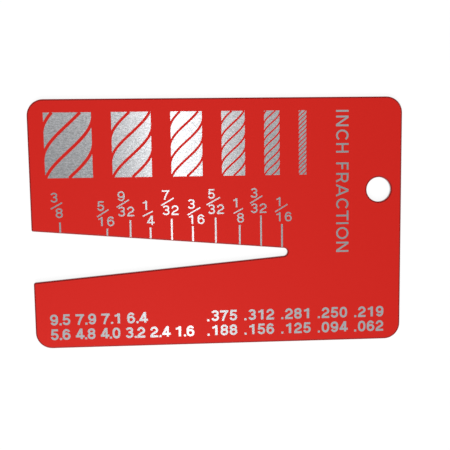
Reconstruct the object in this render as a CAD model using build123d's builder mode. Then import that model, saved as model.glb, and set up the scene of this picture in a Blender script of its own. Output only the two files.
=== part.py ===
from build123d import *
from math import cos, radians, sin, tan
import os

# Cable diameter gauge: one card blanked from thin aluminium sheet, lying on its back.
# A slot with straight tapering walls runs in from the left end of the card. A cable pushed
# into the slot stops where the slot is as wide as the cable, beside the mark for its size.
# X runs along the card, Y across it, and Z up out of the marked face.
# The origin is the middle of the card, on its back face. All sizes are in millimetres.

# Card blank: 3 in by 2 in, cut from 0.032 in sheet
card_length = 76.2
card_width = 50.8
sheet_thickness = 0.8128
corner_radius = 3.3

# Blanking rolls the edges of both faces over: a narrow bevel all round, wider than it is deep
roll_width = 0.28
roll_depth = 0.12

# Hang hole: centred 3/16 in from the right end and 3/4 in from the top side
hole_diameter = 5.1
hole_from_right = 4.7625
hole_from_top = 19.05

# Tapered slot: its centre line is 1 1/4 in from the top side
slot_from_top = 31.75
mouth_width = 10.59
slot_angle = 9.87  # degrees between the two walls
root_radius = 0.85
mouth_corner_radius = 0.35

# Etching: the marks and the fields are cut through the dyed skin down to bare metal
etch_depth = 0.05
mark_width = 0.36
thirty_second = 25.4 / 32  # the step between sizes

# One line for each mark: the cable's size in thirty-seconds of an inch, how much wider than
# the cable the slot is at the mark, and how far above the slot's centre line the mark ends
marks = [
    (12, 0.07, 7.05),
    (10, 0.02, 5.60),
    (9, 0.00, 7.25),
    (8, 0.09, 5.65),
    (7, 0.13, 7.35),
    (6, 0.18, 5.75),
    (5, 0.16, 7.45),
    (4, 0.10, 5.85),
    (3, 0.13, 7.70),
    (2, 0.17, 5.85),
]

# Size bars: a row of plain fields above the marks, each as wide as one cable
bar_sizes = [12, 10, 8, 6, 4, 2]
bar_height = 13.1
bar_gap = 3.95
bars_from_left = 3.2
bars_from_top = 2.65

# Places worked out from the sizes above
left_end = -card_length / 2
right_end = card_length / 2
top_side = card_width / 2
half_angle = radians(slot_angle / 2)
run_out = 2 * mouth_corner_radius  # the slot's outline starts this far outside the card
root_centre = (mouth_width / 2 - root_radius / cos(half_angle)) / tan(half_angle)
wall_end = (root_centre + root_radius * sin(half_angle), root_radius * cos(half_angle))


def half_slot(distance):
    """Half the slot's width at a distance from the mouth."""
    return mouth_width / 2 - distance * tan(half_angle)


def seat_distance(width):
    """Distance from the mouth at which the slot has this width."""
    return (mouth_width - width) / (2 * tan(half_angle))


# The slot's sketches start from the middle of its mouth, with X running into the card
slot_back = Plane(origin=(left_end, top_side - slot_from_top, 0))
slot_face = slot_back.offset(sheet_thickness)
bars_face = Plane(origin=(left_end + bars_from_left, top_side - bars_from_top, sheet_thickness))

with BuildPart() as gauge_plate:
    # Blank with its rounded corners
    with BuildSketch(Plane.XY):
        RectangleRounded(card_length, card_width, corner_radius)
    extrude(amount=sheet_thickness)

    # Tapered slot: two straight walls that run into the round root without a step
    with BuildSketch(slot_back):
        with BuildLine():
            Line((-run_out, 0), (-run_out, half_slot(-run_out)))
            wall = Line((-run_out, half_slot(-run_out)), wall_end)
            JernArc(start=wall_end, tangent=wall % 1, radius=root_radius, arc_size=-90 + slot_angle / 2)
            mirror(about=Plane.XZ)
        make_face()
    extrude(amount=sheet_thickness, mode=Mode.SUBTRACT)

    # Hang hole
    with Locations((right_end - hole_from_right, top_side - hole_from_top, sheet_thickness)):
        Hole(hole_diameter / 2)

    # The two corners of the slot's mouth are rounded, then the edges of both faces are rolled over
    mouth_corners = gauge_plate.edges().filter_by(Axis.Z).group_by(Axis.X)[0]
    fillet(mouth_corners, radius=mouth_corner_radius)
    for face in gauge_plate.faces().filter_by(Axis.Z):
        chamfer(face.edges(), length=roll_width, length2=roll_depth, reference=face)

    # Marks: each runs from the slot up to its label, where the slot is as wide as the cable
    with BuildSketch(slot_face):
        for size, allowance, mark_top in marks:
            with Locations((seat_distance(size * thirty_second + allowance), 0)):
                Rectangle(mark_width, mark_top, align=(Align.CENTER, Align.MIN))
    extrude(amount=-etch_depth, mode=Mode.SUBTRACT)

    # Size bars, from the widest cable to the thinnest
    with BuildSketch(bars_face):
        bar_left = 0
        for size in bar_sizes:
            bar_width = size * thirty_second
            with Locations((bar_left, 0)):
                Rectangle(bar_width, bar_height, align=(Align.MIN, Align.MAX))
            bar_left += bar_width + bar_gap
    extrude(amount=-etch_depth, mode=Mode.SUBTRACT)

gauge_plate.part.label = "gauge_plate"

os.makedirs("parts", exist_ok=True)
export_step(gauge_plate.part, "parts/gauge_plate.step")
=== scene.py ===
import math

import bpy
import numpy as np
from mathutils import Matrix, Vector, geometry


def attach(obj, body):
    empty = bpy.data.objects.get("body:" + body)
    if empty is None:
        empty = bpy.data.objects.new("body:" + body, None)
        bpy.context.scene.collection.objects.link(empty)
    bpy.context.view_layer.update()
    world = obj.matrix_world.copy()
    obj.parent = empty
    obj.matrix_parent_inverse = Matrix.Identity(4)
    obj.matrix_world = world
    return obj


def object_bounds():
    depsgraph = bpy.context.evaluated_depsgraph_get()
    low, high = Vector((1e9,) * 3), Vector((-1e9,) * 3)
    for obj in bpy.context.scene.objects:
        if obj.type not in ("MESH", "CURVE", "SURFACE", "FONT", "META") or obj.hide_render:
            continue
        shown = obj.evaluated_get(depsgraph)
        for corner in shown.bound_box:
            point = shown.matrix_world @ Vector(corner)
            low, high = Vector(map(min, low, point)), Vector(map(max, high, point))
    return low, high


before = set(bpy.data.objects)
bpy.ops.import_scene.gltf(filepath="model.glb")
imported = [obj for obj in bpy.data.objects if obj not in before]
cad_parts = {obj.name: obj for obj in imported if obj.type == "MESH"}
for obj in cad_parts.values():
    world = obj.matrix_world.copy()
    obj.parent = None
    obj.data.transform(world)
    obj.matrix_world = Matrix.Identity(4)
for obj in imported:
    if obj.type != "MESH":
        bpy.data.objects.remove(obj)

# Sizes are in millimetres, unless a comment says otherwise
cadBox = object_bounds()
mm = 0.001
thirtySecond = 25.4 / 32  # the step between cable sizes, which are counted in thirty-seconds of an inch
leftEnd = cadBox[0].x / mm
topSide = cadBox[1].y / mm
faceHeight = cadBox[1].z / mm  # the marked face, above the table
etchDepth = 0.05  # the bare fields lie this far below the marked face
print("frame loaded, the card is", round(faceHeight, 4), "mm thick")

scene = bpy.context.scene
scene.view_settings.view_transform = "Standard"

# The slot as the card has it: each mark stands where the slot is as wide as its cable and the allowance
slotTaper = {
    "mouthWidth": 10.59,
    "angle": 9.87,  # degrees between the two walls
    "allowance": {12: 0.07, 10: 0.02, 9: 0.00, 8: 0.09, 7: 0.13,
                  6: 0.18, 5: 0.16, 4: 0.10, 3: 0.13, 2: 0.17},
}


def markX(size):
    # the way in from the mouth is the width lost so far, over the slope of both walls together
    width = size * thirtySecond + slotTaper["allowance"][size]
    slope = 2 * math.tan(math.radians(slotTaper["angle"] / 2))
    return leftEnd + (slotTaper["mouthWidth"] - width) / slope


# Strokes: each numeral and letter is a few ribbons inside a box one unit high

def ribbon(path, weight):
    # every point of the centre line is moved half the weight to its left and to its right
    along = np.gradient(path, axis=0)
    along /= np.linalg.norm(along, axis=1, keepdims=True)
    aside = np.column_stack([-along[:, 1], along[:, 0]]) * weight / 2
    return np.stack([path + aside, path - aside], axis=1)


def arc(centre, radii, fromAngle, toAngle, steps=20):
    # the centre plus each radius times the cosine or sine of an even run of angles
    angle = np.radians(np.linspace(fromAngle, toAngle, steps + 1))
    return np.column_stack([centre[0] + radii[0] * np.cos(angle), centre[1] + radii[1] * np.sin(angle)])


def bend(start, startPull, endPull, end, steps=18):
    # a cubic curve: the four points are mixed by the terms of (1 - t + t) cubed
    t = np.linspace(0, 1, steps + 1)[:, None]
    corners = np.array([start, startPull, endPull, end], dtype=float)
    return np.hstack([(1 - t) ** 3, 3 * t * (1 - t) ** 2, 3 * t ** 2 * (1 - t), t ** 3]) @ corners


def bar(start, end, weight):
    # a straight ribbon with square ends
    return ribbon(np.array([start, end], dtype=float), weight)


def slant(foot, head, weight):
    # a leaning bar whose two ends are level: each end is spread along X by half the weight
    ends = np.array([foot, head], dtype=float)
    return np.stack([ends - [weight / 2, 0], ends + [weight / 2, 0]], axis=1)


def ring(centre, radii, weight, squareness=2.0, steps=44):
    # a superellipse: cosine and sine keep their signs and are raised to two over the squareness
    angle = np.linspace(0, 2 * np.pi, steps + 1)
    shape = np.column_stack([np.cos(angle), np.sin(angle)])
    shape = np.sign(shape) * np.abs(shape) ** (2 / squareness)
    outer, inner = np.array(radii) + weight / 2, np.array(radii) - weight / 2
    return np.stack([centre + shape * inner, centre + shape * outer], axis=1)


def numeralStrokes(sign, width, weight):
    # a plain number is a part of the sign's height, and one times the width a part of its width
    half = weight / 2  # centre lines keep this far inside the box
    left, right, low, high = half, width - half, half, 1 - half
    midX, reach = width / 2, width / 2 - half
    waist = 0.53  # where the bowls of a 3 and an 8 meet
    topBowl, lowBowl = (midX, (high + waist) / 2), (midX, (waist + low) / 2)
    topRise, lowRise = (high - waist) / 2, (waist - low) / 2
    if sign == "0":
        return [ring((midX, 0.5), (reach, 0.5 - half), weight, squareness=2.3)]
    if sign == "1":
        stem, top = 0.5 * width + half, 0.96
        flag = arc((0.12 * width, top), (stem - 0.12 * width, 0.22), -90, 0)
        return [bar((stem, 0.03), (stem, top), 1.15 * weight), ribbon(flag, 0.9 * weight)]
    if sign == "2":
        bowl = arc((midX, high - 0.27), (reach, 0.27), 176, 0)
        sweep = bend(bowl[-1], (right, 0.42), (left, 0.42), (left, low))
        return [ribbon(np.vstack([bowl, sweep[1:]]), weight), bar((0, low), (width, low), weight)]
    if sign == "3":
        return [ribbon(arc(topBowl, (reach * 0.93, topRise), 165, -90), weight),
                ribbon(arc(lowBowl, (reach, lowRise), 90, -168), weight),
                bar((0.4 * width, waist), (midX, waist), weight)]
    if sign == "4":
        stem, crossbar = 0.74 * width, 0.29
        return [bar((stem, 0.04), (stem, 1), weight),
                bar((0, crossbar), (1.1 * width, crossbar), weight),
                slant((0.6 * weight, crossbar), (stem - 0.1 * weight, 1), 1.2 * weight)]
    if sign == "5":
        bowl = arc((midX, 0.335), (reach, 0.335 - half), 142, -168)
        return [ribbon(bowl, weight), bar((0.17 * width, high), (0.94 * width, high), weight),
                slant((0.05 * width + half, 0.44), (0.15 * width + half, 1), weight)]
    if sign in "69":
        back = np.vstack([arc((midX, 0.6), (reach, 0.4 - half), 26, 180), [[left, 0.34]]])
        strokes = [ring((midX, 0.34), (reach, 0.34 - half), weight), ribbon(back, weight)]
        return strokes if sign == "6" else [np.array([width, 1]) - stroke for stroke in strokes]
    if sign == "7":
        top = high - 0.03
        fall = bend((right, top), (0.72 * width, 0.72), (0.43 * width, 0.38), (0.32 * width, 0))
        return [bar((-0.04 * width, top), (1.04 * width, top), weight), ribbon(fall, weight)]
    if sign == "8":
        return [ring(topBowl, (reach * 0.92, topRise), weight), ring(lowBowl, (reach, lowRise), weight)]
    return [bar((half, 0), (half, weight), weight)]  # a decimal point


def letterStrokes(sign, width, weight):
    # as for the numerals
    half = weight / 2
    left, right, low, high = half, width - half, half, 1 - half
    midX, reach = width / 2, width / 2 - half
    stem = bar((left, 0), (left, 1), weight)
    farStem = bar((right, 0), (right, 1), weight)
    if sign == "I":
        return [stem]
    if sign == "N":
        return [stem, farStem, slant((width - 0.6 * weight, 0), (0.6 * weight, 1), 1.2 * weight)]
    if sign == "C":
        return [ribbon(arc((midX, 0.5), (reach, 0.5 - half), 38, 322, steps=36), weight)]
    if sign == "H":
        return [stem, farStem, bar((left, 0.52), (right, 0.52), weight)]
    if sign == "F":
        return [stem, bar((0, high), (width, high), weight), bar((0, 0.5), (0.92 * width, 0.5), weight)]
    if sign == "R":
        waist = 0.46
        rise = (high - waist) / 2
        bowl = arc((right - rise, waist + rise), (rise, rise), -90, 90)
        leg = slant((width - 0.5 * weight, 0), (0.6 * width, waist), 1.1 * weight)
        return [stem, ribbon(bowl, weight), leg, bar((left, high), (right - rise, high), weight),
                bar((left, waist), (right - rise, waist), weight)]
    if sign == "A":
        foot, head = 0.55 * weight, 0.08 * weight
        return [slant((foot, 0), (midX - head, 1), 1.1 * weight),
                slant((width - foot, 0), (midX + head, 1), 1.1 * weight),
                bar((0.22 * width, 0.28), (0.78 * width, 0.28), 0.9 * weight)]
    if sign == "T":
        return [bar((0, high), (width, high), weight), bar((midX, 0), (midX, 1), weight)]
    return [ring((midX, 0.5), (reach, 0.5 - half), weight)]  # the O


def flatShape(strokes):
    # the ribbons' quads are cut where they cross and kept as one flat sheet of triangles
    sizes = [len(stroke) for stroke in strokes]
    starts = 2 * np.concatenate([[0], np.cumsum(sizes)[:-1]])
    first = np.concatenate([start + 2 * np.arange(size - 1) for start, size in zip(starts, sizes)])
    points = np.vstack([stroke.reshape(-1, 2) for stroke in strokes])
    quads = np.column_stack([first, first + 1, first + 3, first + 2])
    across, along = points[quads[:, 2]] - points[quads[:, 0]], points[quads[:, 3]] - points[quads[:, 1]]
    backwards = across[:, 0] * along[:, 1] - across[:, 1] * along[:, 0] < 0
    quads[backwards] = quads[backwards, ::-1]
    insideFaces, tolerance = 1, 1e-5  # only what lies inside a quad is kept
    cut = geometry.delaunay_2d_cdt([Vector(point) for point in points], [], quads.tolist(),
                                   insideFaces, tolerance)
    corners = np.array([tuple(corner) for corner in cut[0]])
    triangles = np.array([face for face, source in zip(cut[2], cut[5]) if source])
    return corners, triangles


def slab(corners, triangles, bottom, top):
    # the flat sheet at two heights, with a wall along every edge that only one triangle uses
    count = len(corners)
    edges = np.vstack([triangles[:, [0, 1]], triangles[:, [1, 2]], triangles[:, [2, 0]]])
    code, mirrored = edges[:, 0] * count + edges[:, 1], edges[:, 1] * count + edges[:, 0]
    rim = edges[~np.isin(code, mirrored)]
    walls = np.column_stack([rim[:, 0], rim[:, 1], rim[:, 1] + count, rim[:, 0] + count])
    height = np.repeat([bottom, top], count)[:, None]
    vertices = np.hstack([np.vstack([corners, corners]), height])
    faces = triangles[:, ::-1].tolist() + (triangles + count).tolist() + walls.tolist()
    return vertices, faces


def joined(slabs):
    # one list of vertices, with each slab's faces counted on from where its own vertices start
    vertices, faces = [], []
    for slabVertices, slabFaces in slabs:
        start = sum(len(part) for part in vertices)
        vertices.append(slabVertices)
        faces += [[start + corner for corner in face] for face in slabFaces]
    return np.vstack(vertices), faces


def newMeshObject(name, vertices, faces, material):
    mesh = bpy.data.meshes.new(name)
    mesh.from_pydata((vertices * mm).tolist(), [], faces)
    mesh.validate()
    mesh.materials.append(material)
    piece = bpy.data.objects.new(name, mesh)
    scene.collection.objects.link(piece)
    return piece


# Shader nodes

def newNode(tree, kind, settings=None, inputs=None):
    # an input is given a plain value, or a socket that is linked to it
    node = tree.nodes.new(kind)
    for key, value in (settings or {}).items():
        setattr(node, key, value)
    for key, value in (inputs or {}).items():
        if isinstance(value, bpy.types.NodeSocket):
            tree.links.new(value, node.inputs[key])
        else:
            node.inputs[key].default_value = value
    return node


def maths(tree, operation, *values):
    return newNode(tree, "ShaderNodeMath", {"operation": operation}, dict(enumerate(values))).outputs[0]


def splitXYZ(tree, vector):
    return newNode(tree, "ShaderNodeSeparateXYZ", None, {0: vector}).outputs


def divided(tree, vector, lengthX, lengthYZ):
    # the place counted in cells of this length along X and this length across
    cell = newNode(tree, "ShaderNodeCombineXYZ", None, {0: lengthX, 1: lengthYZ, 2: lengthYZ}).outputs[0]
    counted = newNode(tree, "ShaderNodeVectorMath", {"operation": "DIVIDE"}, {0: vector, 1: cell})
    return counted.outputs[0]


def easedRange(tree, value, start, end, toStart, toEnd):
    # an S-shaped change from one value to another between two limits
    return newNode(tree, "ShaderNodeMapRange", {"interpolation_type": "SMOOTHSTEP"}, {
        "Value": value, "From Min": start, "From Max": end, "To Min": toStart, "To Max": toEnd}).outputs[0]


def mixNumbers(tree, factor, first, second):
    return newNode(tree, "ShaderNodeMix", None, {"Factor": factor, 2: first, 3: second}).outputs[0]


def mixColours(tree, factor, first, second):
    # a Mix node has its colours after its numbers and vectors
    mix = newNode(tree, "ShaderNodeMix", {"data_type": "RGBA"}, {"Factor": factor, 6: first, 7: second})
    return mix.outputs[2]


def newGroup(name, inputs, outputs):
    group = bpy.data.node_groups.new(name, "ShaderNodeTree")
    for socket, kind in inputs.items():
        group.interface.new_socket(socket, in_out="INPUT", socket_type=kind)
    for socket, kind in outputs.items():
        group.interface.new_socket(socket, in_out="OUTPUT", socket_type=kind)
    return group, newNode(group, "NodeGroupInput"), newNode(group, "NodeGroupOutput")


grainMix = {
    "streakShare": 0.65,
    "streakDetail": 2.0,
    "streakRoughness": 0.65,
    "speckShare": 0.35,
    "speckScale": 0.8,  # specks to a streak's width
    "speckDetail": 1.0,
}


def makeBrushedGrain(plan):
    # fine streaks along X with a few specks between them, as rolled and brushed sheet has
    group, given, result = newGroup(
        "brushedGrain",
        {"Place": "NodeSocketVector", "Colour": "NodeSocketColor", "Streak Length": "NodeSocketFloat",
         "Streak Width": "NodeSocketFloat", "Strength": "NodeSocketFloat"},
        {"Colour": "NodeSocketColor", "Height": "NodeSocketFloat"})
    place, length, width = (given.outputs[name] for name in ("Place", "Streak Length", "Streak Width"))
    streaks = newNode(group, "ShaderNodeTexNoise", None, {
        "Vector": divided(group, place, length, width), "Scale": 1.0,
        "Detail": plan["streakDetail"], "Roughness": plan["streakRoughness"]})
    specks = newNode(group, "ShaderNodeTexNoise", None, {
        "Vector": divided(group, place, width, width), "Scale": plan["speckScale"],
        "Detail": plan["speckDetail"]})
    height = maths(group, "ADD", maths(group, "MULTIPLY", streaks.outputs[0], plan["streakShare"]),
                   maths(group, "MULTIPLY", specks.outputs[0], plan["speckShare"]))
    # the colour is scaled by one plus the strength times the height's swing about its middle
    swing = maths(group, "MULTIPLY", maths(group, "SUBTRACT", height, 0.5), given.outputs["Strength"])
    shaded = newNode(group, "ShaderNodeVectorMath", {"operation": "SCALE"},
                     {0: given.outputs["Colour"], "Scale": maths(group, "ADD", swing, 1.0)})
    group.links.new(shaded.outputs[0], result.inputs["Colour"])
    group.links.new(height, result.inputs["Height"])
    return group


brushedGrain = makeBrushedGrain(grainMix)


def newMaterial(name):
    material = bpy.data.materials.new(name)
    material.use_nodes = True
    tree = material.node_tree
    return material, tree, tree.nodes["Principled BSDF"]


def placeGrain(tree, place, colour, finish, strength):
    # the grain with one finish's sizes, over a plain colour or a socket that gives one
    return newNode(tree, "ShaderNodeGroup", {"node_tree": brushedGrain}, {
        "Place": place, "Colour": colour, "Streak Length": finish["streakLength"] * mm,
        "Streak Width": finish["streakWidth"] * mm, "Strength": strength}).outputs


bareFinish = {
    "colour": (0.66, 0.67, 0.69, 1),
    "roughness": 0.22,
    "streakLength": 0.6,
    "streakWidth": 0.28,
    "grainStrength": 1.6,
    "figureGrain": 0.4,   # the grain's strength on figures and marks, whose strokes are as thin as a streak
    "figuresTo": 9.0,     # the marks lie below this Y, and the size bars above it
    "bump": 0.02,
    "bumpDistance": 0.01,
}


def bareBump(tree, height):
    return newNode(tree, "ShaderNodeBump", None, {
        "Strength": bareFinish["bump"], "Distance": bareFinish["bumpDistance"] * mm,
        "Height": height}).outputs["Normal"]


def makeBareAluminium():
    material, tree, shader = newMaterial("bareAluminium")
    place = newNode(tree, "ShaderNodeTexCoord").outputs["Object"]
    grain = placeGrain(tree, place, bareFinish["colour"], bareFinish, bareFinish["figureGrain"])
    tree.links.new(grain["Colour"], shader.inputs["Base Color"])
    tree.links.new(bareBump(tree, grain["Height"]), shader.inputs["Normal"])
    shader.inputs["Roughness"].default_value = bareFinish["roughness"]
    shader.inputs["Metallic"].default_value = 1.0
    return material


dyedFinish = {
    "colour": (0.622, 0.0121, 0.0063, 1),
    # painted shade: a darker red for the chamfers round every edge, so the card's outline shows a dark line
    "paintedEdgeShadeColour": (0.26, 0.005, 0.003, 1),
    "metallic": 0.2,
    "roughness": 0.5,
    "specular": 0.2,
    "streakLength": 1.6,
    "streakWidth": 0.12,
    "grainStrength": 0.06,
    "flatFrom": 0.93,   # how squarely a surface has to face up or down to be free of the painted edge shade
    "flatFull": 0.985,
    "wallTo": 0.5,      # below this it is a cut wall
    "wallColour": (0.46, 0.465, 0.475, 1),
}


def makeDyedCard():
    # red dyed skin all over, painted a darker red on the chamfers as painted shade along the edges, and
    # bare metal on the etched floors and on the walls that blanking cut
    material, tree, shader = newMaterial("dyedCard")
    coordinates = newNode(tree, "ShaderNodeTexCoord")
    place = coordinates.outputs["Object"]
    placeParts = splitXYZ(tree, place)
    facingZ = splitXYZ(tree, coordinates.outputs["Normal"])["Z"]
    flatness = maths(tree, "ABSOLUTE", facingZ)
    below = maths(tree, "LESS_THAN", placeParts["Z"], (faceHeight - etchDepth / 2) * mm)
    etched = maths(tree, "MULTIPLY", below, maths(tree, "GREATER_THAN", facingZ, dyedFinish["flatFull"]))
    cut = maths(tree, "LESS_THAN", flatness, dyedFinish["wallTo"])
    bare = maths(tree, "MAXIMUM", etched, cut)
    inBars = maths(tree, "GREATER_THAN", placeParts["Y"], bareFinish["figuresTo"] * mm)
    strength = mixNumbers(tree, maths(tree, "MULTIPLY", inBars, etched),
                          bareFinish["figureGrain"], bareFinish["grainStrength"])
    metalColour = mixColours(tree, cut, bareFinish["colour"], dyedFinish["wallColour"])
    metal = placeGrain(tree, place, metalColour, bareFinish, strength)
    # painted shade: where a surface leans away from facing up or down, as the chamfers do, the red is
    # painted darker
    paintedEdgeShade = easedRange(tree, flatness, dyedFinish["flatFrom"], dyedFinish["flatFull"], 1.0, 0.0)
    dyeAndPaintedEdgeShade = mixColours(tree, paintedEdgeShade, dyedFinish["colour"], dyedFinish["paintedEdgeShadeColour"])
    skin = placeGrain(tree, place, dyeAndPaintedEdgeShade, dyedFinish, dyedFinish["grainStrength"])
    tree.links.new(mixColours(tree, bare, skin["Colour"], metal["Colour"]), shader.inputs["Base Color"])
    tree.links.new(mixNumbers(tree, bare, dyedFinish["metallic"], 1.0), shader.inputs["Metallic"])
    tree.links.new(mixNumbers(tree, etched, dyedFinish["roughness"], bareFinish["roughness"]),
                   shader.inputs["Roughness"])
    bareHeight = maths(tree, "MULTIPLY", metal["Height"], etched)
    tree.links.new(bareBump(tree, bareHeight), shader.inputs["Normal"])
    shader.inputs["Specular IOR Level"].default_value = dyedFinish["specular"]
    return material


bareAluminium = makeBareAluminium()
dyedCard = makeDyedCard()
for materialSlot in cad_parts["gauge_plate"].material_slots:
    materialSlot.material = dyedCard
print("card finished")


def newPiece(name, slabs, material):
    piece = newMeshObject(name, *joined(slabs), material)
    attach(piece, "root")
    return piece


textLayer = {"sunk": 0.02, "proud": 0.012}  # figures reach this far below the marked face and above it


def signSlab(strokes, place, size, turn=0.0):
    # the sign is turned, made this size and moved to its place, then raised to its layer's height
    corners, triangles = flatShape(strokes)
    cosine, sine = math.cos(turn), math.sin(turn)
    corners = corners @ np.array([[cosine, sine], [-sine, cosine]]) * size + place
    return slab(corners, triangles, faceHeight - textLayer["sunk"], faceHeight + textLayer["proud"])


# Size labels: a fraction of an inch over each mark, by turns in a high row and a low one
sizeLabels = {
    "fractions": {12: "3/8", 10: "5/16", 9: "9/32", 8: "1/4", 7: "7/32",
                  6: "3/16", 5: "5/32", 4: "1/8", 3: "3/32", 2: "1/16"},
    # the upper number's top left corner: X from its mark, Y from the card's middle
    "corners": {12: (-1.71, 6.74), 10: (-1.89, 4.87), 9: (-2.43, 6.82), 8: (-1.62, 4.89), 7: (-1.83, 6.93),
                6: (-0.94, 4.97), 5: (-1.52, 6.98), 4: (-1.45, 5.10), 3: (-2.10, 7.03), 2: (-1.31, 5.18)},
    "height": 2.0,
    "width": 0.71,        # of the height
    "weight": 0.148,      # of the height
    "pitch": {"1": 1.94, "3": 1.85},  # from a lower number's first figure to its second
    "lineDrop": 3.15,     # from the upper number's top to the lower one's
    "loneShift": 0.93,    # a lower number of one figure starts this far in
    # the slash's foot and head, from the same corner
    "slashes": {12: ((0.00, -3.30), (2.29, -2.06)), 10: ((-0.08, -3.19), (2.27, -1.74)),
                9: ((-0.23, -3.26), (2.27, -1.77)), 8: ((0.12, -3.24), (2.15, -2.27)),
                7: ((-0.24, -3.14), (2.35, -1.65)), 6: ((-0.08, -3.22), (2.54, -1.74)),
                5: ((-0.30, -3.24), (2.46, -1.74)), 4: ((0.27, -3.20), (2.15, -2.21)),
                3: ((-0.12, -3.10), (2.42, -1.61)), 2: ((-0.12, -3.14), (2.49, -1.60))},
    "slashWeight": 0.265,
}


def makeSizeLabels(plan):
    for size, fraction in plan["fractions"].items():
        upper, lower = fraction.split("/")
        aside, top = plan["corners"][size]
        left = markX(size) + aside
        upperBase = top - plan["height"]
        lowerBase = upperBase - plan["lineDrop"]
        start = left + (plan["loneShift"] if len(lower) == 1 else 0.0)
        pitch = plan["pitch"].get(lower[0], 0.0)
        signs = [(upper, left, upperBase)]
        signs += [(figure, start + k * pitch, lowerBase) for k, figure in enumerate(lower)]
        slabs = []
        for figure, x, y in signs:
            strokes = numeralStrokes(figure, plan["width"], plan["weight"])
            slabs.append(signSlab(strokes, (x, y), plan["height"]))
        slash = bar(*plan["slashes"][size], plan["slashWeight"])
        slabs.append(signSlab([slash], (left, top), 1.0))
        newPiece("size_label_" + fraction.replace("/", "_"), slabs, bareAluminium)


makeSizeLabels(sizeLabels)
print("size labels made")

# Unit legend: capitals that read down the card between the size bars and the hang hole
unitLegend = {
    "words": "INCH FRACTION",
    "baseX": 24.31,
    "lean": 0.004,        # the line of letters drifts this much to the right for each millimetre down
    "startY": 23.13,
    "height": 2.6,
    "weight": 0.145,      # of the height, as the widths are
    "widths": {"I": 0.25, "N": 0.83, "C": 0.91, "H": 0.75, "F": 0.58,
               "R": 0.75, "A": 1.00, "T": 0.79, "O": 0.97},
    # clear space before and after each letter
    "before": {"I": 0.39, "N": 0.33, "C": 0.33, "H": 0.31, "F": 0.37,
               "R": 0.33, "A": 0.17, "T": 0.09, "O": 0.18},
    "after": {"I": 0.17, "N": 0.34, "C": 0.09, "H": 0.44, "F": 0.32,
              "R": 0.17, "A": 0.05, "T": -0.01, "O": 0.22},
    "space": 1.2,         # between the words
}


def makeUnitLegend(plan):
    slabs, y = [], plan["startY"]
    for sign in plan["words"]:
        if sign == " ":
            y -= plan["space"]
            continue
        y -= plan["before"][sign]
        x = plan["baseX"] + plan["lean"] * (plan["startY"] - y)
        strokes = letterStrokes(sign, plan["widths"][sign], plan["weight"])
        slabs.append(signSlab(strokes, (x, y), plan["height"], turn=-math.pi / 2))
        y -= plan["widths"][sign] * plan["height"] + plan["after"][sign]
    newPiece("unit_legend", slabs, bareAluminium)


makeUnitLegend(unitLegend)
print("unit legend made")

# Number tables under the slot: the ten sizes in millimetres, then in decimals of an inch.
# A table's space is the step of a blank, and its tracking is added to every step of that line.
numberTables = {
    "millimetre_sizes": {"left": -35.1, "tracking": (-0.09, -0.125), "space": 1.15,
                         "lines": ("9.5 7.9 7.1 6.4", "5.6 4.8 4.0 3.2 2.4 1.6")},
    "inch_sizes": {"left": -2.94, "tracking": (0.125, 0.125), "space": 0.893,
                   "lines": (".375 .312 .281 .250 .219", ".188 .156 .125 .094 .062")},
}
numberStyle = {
    "baselines": (-20.6, -23.7),
    "height": 2.3,
    "width": 0.70,        # of the height
    "weight": 0.19,       # of the height
    "figureStep": 1.786,  # from a figure's start to the next sign's
    "pointStep": 0.893,   # the same for a point
    "pointInset": 0.2,    # a point stands this far inside its own step
}


def makeNumberTable(name, plan, style):
    slabs = []
    for line, tracking, baseline in zip(plan["lines"], plan["tracking"], style["baselines"]):
        x = plan["left"]
        for sign in line:
            inset = style["pointInset"] if sign == "." else 0.0
            if sign != " ":
                strokes = numeralStrokes(sign, style["width"], style["weight"])
                slabs.append(signSlab(strokes, (x + inset, baseline), style["height"]))
            step = {" ": plan["space"], ".": style["pointStep"]}.get(sign, style["figureStep"])
            x += step + tracking
    newPiece(name, slabs, bareAluminium)


for tableName, tablePlan in numberTables.items():
    makeNumberTable(tableName, tablePlan, numberStyle)
print("number tables made")

# Strand lines: dyed lines left standing in the size bars, so each bar reads as a piece of rope
strandLines = {
    "sizes": (12, 10, 8, 6, 4, 2),
    "fromLeft": 3.2,       # the first bar's left side, from the card's left end
    "fromTop": 2.65,       # the bars' upper ends, from the card's top side
    "barHeight": 13.1,
    "barGap": 3.95,
    "pitch": 0.56,         # of the bar's width
    "climb": 1.5,          # of the bar's width, from its left side to its right
    "firstFoot": 0.5,      # of the climb, below the bar's lower end
    "lastFoot": 0.25,      # of the climb, below its upper end
    "weight": 0.055,       # of the bar's width
    "leastWeight": 0.11,
    "steps": 28,
    "sunk": 0.01,          # the lines start this far under the etched floor
    "below": 0.004,        # and stop this far short of the marked face
}


def strandPath(middle, width, foot, climb, low, high, steps):
    # X goes from side to side as half a cosine wave while Y climbs evenly, kept between the bar's ends
    part = np.linspace(max(0.0, (low - foot) / climb), min(1.0, (high - foot) / climb), steps + 1)
    return np.column_stack([middle - width / 2 * np.cos(np.pi * part), foot + climb * part])


def makeStrandLines(plan):
    slabs, left = [], leftEnd + plan["fromLeft"]
    high = topSide - plan["fromTop"]
    low = high - plan["barHeight"]
    bottom, top = faceHeight - etchDepth - plan["sunk"], faceHeight - plan["below"]
    for size in plan["sizes"]:
        width = size * thirtySecond
        climb, pitch = plan["climb"] * width, plan["pitch"] * width
        weight = plan["weight"] * width + plan["leastWeight"]
        for foot in np.arange(low - plan["firstFoot"] * climb, high - plan["lastFoot"] * climb, pitch):
            path = strandPath(left + width / 2, width + weight, foot, climb, low, high, plan["steps"])
            slabs.append(slab(*flatShape([ribbon(path, weight)]), bottom, top))
        left += width + plan["barGap"]
    newPiece("strand_lines", slabs, dyedCard)


makeStrandLines(strandLines)
print("strand lines made")

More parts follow.
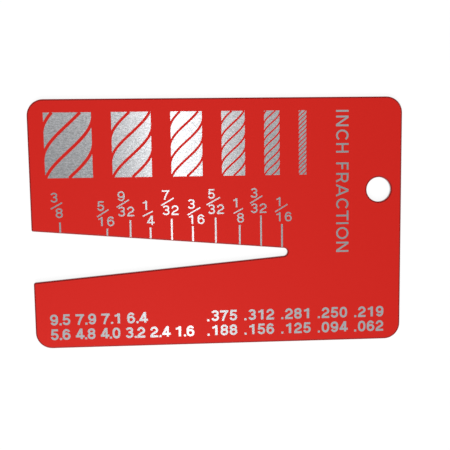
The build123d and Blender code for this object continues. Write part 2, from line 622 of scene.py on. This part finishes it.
# Table top: it looks white to the camera and in the metal, and keeps the card's shadow
tableTop = {
    "half": 1500.0,
    "drop": 0.02,          # below the card's back
    "colour": (0.85, 0.85, 0.85, 1),
    "roughness": 0.9,
    "glow": 0.86,          # what the camera and the metal see of it in full shadow
    "litColour": (0.16, 0.16, 0.16, 1),  # and what the light adds to that
}


def makeTableTop(plan):
    material, tree, shader = newMaterial("whiteTable")
    shader.inputs["Base Color"].default_value = plan["colour"]
    shader.inputs["Roughness"].default_value = plan["roughness"]
    shader.inputs["Specular IOR Level"].default_value = 0.0
    rays = newNode(tree, "ShaderNodeLightPath").outputs
    seen = maths(tree, "MAXIMUM", rays["Is Camera Ray"],
                 maths(tree, "MAXIMUM", rays["Is Glossy Ray"], rays["Is Transmission Ray"]))
    glow = newNode(tree, "ShaderNodeEmission", None, {"Color": (1, 1, 1, 1), "Strength": plan["glow"]})
    lit = newNode(tree, "ShaderNodeBsdfDiffuse", None, {"Color": plan["litColour"]})
    bright = newNode(tree, "ShaderNodeAddShader", None, {0: glow.outputs[0], 1: lit.outputs[0]})
    mixed = newNode(tree, "ShaderNodeMixShader", None, {
        0: seen, 1: shader.outputs[0], 2: bright.outputs[0]})
    tree.links.new(mixed.outputs[0], tree.nodes["Material Output"].inputs["Surface"])
    corner = plan["half"] * np.array([[-1, -1], [1, -1], [1, 1], [-1, 1]])
    vertices = np.hstack([corner, np.full((4, 1), -plan["drop"])])
    newMeshObject("table_top", vertices, [[0, 1, 2, 3]], material)


makeTableTop(tableTop)

# World: a white backdrop near the horizon and a grey ceiling, darkest in a band where the camera is held.
# Directions go from 0 level to 1 straight up, and the band is a range of them along Y.
studio = {
    "backdrop": 1.0,
    "backdropTo": 0.1,
    "ceiling": 0.55,
    "ceilingFrom": 0.75,
    "camera": 0.24,
    "cameraAt": -0.05,
    "cameraReach": 0.17,
}


def makeWorld(plan):
    world = bpy.data.worlds.new("studio")
    scene.world = world
    world.use_nodes = True
    tree = world.node_tree
    background = tree.nodes["Background"]
    direction = splitXYZ(tree, newNode(tree, "ShaderNodeTexCoord").outputs["Generated"])
    aside = maths(tree, "ABSOLUTE", maths(tree, "SUBTRACT", direction["Y"], plan["cameraAt"]))
    overhead = easedRange(tree, aside, 0.0, plan["cameraReach"], plan["camera"], plan["ceiling"])
    upward = easedRange(tree, direction["Z"], plan["backdropTo"], plan["ceilingFrom"], 0.0, 1.0)
    tree.links.new(mixNumbers(tree, upward, plan["backdrop"], overhead), background.inputs["Color"])
    background.inputs["Strength"].default_value = 1.0


makeWorld(studio)

# Lamps, in metres and watts: a strip overhead that the bare metal mirrors, and a soft lamp on the
# side of the number tables, a little to the left
lamps = {
    "overheadStrip": {"place": (-0.0145, 0.0, 0.5), "aim": (-0.0145, 0.0, 0.0), "size": (0.044, 1.0),
                      "twist": 2.0, "power": 0.385},
    "softLamp": {"place": (-0.35, -1.3, 1.1), "aim": (0, 0, 0), "size": (0.9, 0.9),
                 "twist": 0.0, "power": 16.5},
}


def makeLamp(name, plan):
    lamp = bpy.data.lights.new(name, "AREA")
    lamp.shape = "RECTANGLE"
    lamp.size, lamp.size_y = plan["size"]
    lamp.energy = plan["power"]
    holder = bpy.data.objects.new(name, lamp)
    holder.location = plan["place"]
    facing = Vector(plan["aim"]) - Vector(plan["place"])
    holder.rotation_euler = facing.to_track_quat("-Z", "Y").to_euler()
    holder.rotation_euler.rotate_axis("Z", math.radians(plan["twist"]))
    scene.collection.objects.link(holder)


for lampName, lampPlan in lamps.items():
    makeLamp(lampName, lampPlan)
print("table, world and lamps set")

# Camera: almost straight above the card, about 130 mm away
cameraView = {
    "place": (-6.261, 12.348, 131.919),
    "turn": (-5.532, -3.344, -0.781),  # degrees about X, Y and Z
    "lens": 51.2,
    "sensor": 36.0,
    "clipStart": 10.0,
}


def makeCamera(plan):
    camera = bpy.data.cameras.new("camera")
    camera.lens = plan["lens"]
    camera.sensor_width = plan["sensor"]
    camera.clip_start = plan["clipStart"] * mm
    holder = bpy.data.objects.new("camera", camera)
    holder.location = Vector(plan["place"]) * mm
    holder.rotation_euler = [math.radians(angle) for angle in plan["turn"]]
    scene.collection.objects.link(holder)
    scene.camera = holder


makeCamera(cameraView)
print("camera set")
